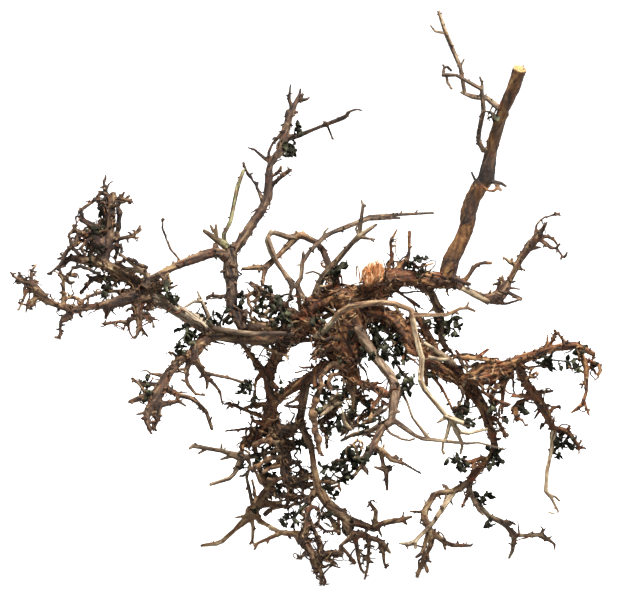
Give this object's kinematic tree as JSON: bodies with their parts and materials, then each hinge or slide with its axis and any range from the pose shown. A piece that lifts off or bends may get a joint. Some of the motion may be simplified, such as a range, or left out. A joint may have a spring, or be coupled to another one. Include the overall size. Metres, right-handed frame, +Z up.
{
  "type": "dried desert shrub",
  "caption": "Dried, uprooted desert shrub of bare weathered limbs, thin twigs and scattered dead leaves, with a sawn-off stem; it stands on its lower limbs.",
  "frame": {"origin": "centre of the bounding box's base, on the ground the shrub stands on", "axes": "+Z up, +X along the shrub's greatest width, -Y the front it is seen from"},
  "size_m": [0.591, 0.2718, 0.5657],
  "materials": {
    "dark_bark": "dark reddish-brown weathered bark, matt, cracked along the limb",
    "twig_bark": "thin dark grey-brown bark on young twigs, matt",
    "bleached_wood": "bare sun-bleached wood, cream to tan, matt, fine grain",
    "torn_heartwood": "torn orange-brown heartwood, fibrous, matt",
    "dry_leaf": "dead leaf, near-black green, matt, curled"
  },
  "bodies": {
    "root": {"crown_heart": "dark_bark", "crown_bar": "dark_bark", "torn_stub": "torn_heartwood", "sawn_stem": "dark_bark", "stem_twig_high": "twig_bark", "stem_twig_low": "twig_bark", "hook_limb": "dark_bark", "back_post": "dark_bark", "pale_rib": "bleached_wood", "right_descender": "dark_bark", "right_foot_front": "dark_bark", "right_foot_pale": "bleached_wood", "right_foot_rear": "dark_bark", "right_arm": "dark_bark", "lower_right_limb": "dark_bark", "hanging_twig": "bleached_wood", "knee_limb": "bleached_wood", "knee_foot": "dark_bark", "centre_limb": "dark_bark", "left_shoulder": "dark_bark", "left_post": "dark_bark", "upright_limb": "dark_bark", "green_twig": "bleached_wood", "left_link_limb": "dark_bark", "brown_arch": "dark_bark", "pale_arch": "bleached_wood", "long_top_twig": "twig_bark", "top_fork_twig": "twig_bark", "left_bar": "bleached_wood", "left_knot_limb": "dark_bark", "tangle_limb": "dark_bark", "tangle_shoots": "twig_bark", "lower_left_limb": "dark_bark", "lower_left_twig": "dark_bark", "inner_left_limb": "dark_bark", "dark_post": "dark_bark", "left_pale_leg": "bleached_wood", "left_cross_twig": "twig_bark", "low_centre_limb": "dark_bark", "low_centre_legs": "dark_bark", "low_left_limb": "dark_bark", "leaves_bar": "dry_leaf", "leaves_crown": "dry_leaf", "leaves_top": "dry_leaf", "leaves_post": "dry_leaf", "leaves_arm": "dry_leaf", "leaves_hanging": "dry_leaf", "leaves_descender": "dry_leaf", "leaves_right_foot": "dry_leaf", "leaves_knee": "dry_leaf", "leaves_middle": "dry_leaf", "leaves_middle_low": "dry_leaf", "leaves_left_low": "dry_leaf", "leaves_tuft": "dry_leaf", "leaves_left_shoulder": "dry_leaf", "leaves_bar_end": "dry_leaf", "leaves_inner_left": "dry_leaf", "leaves_left_bar": "dry_leaf", "leaves_upright": "dry_leaf", "leaf_far_left": "dry_leaf"}
  },
  "joints": []
}
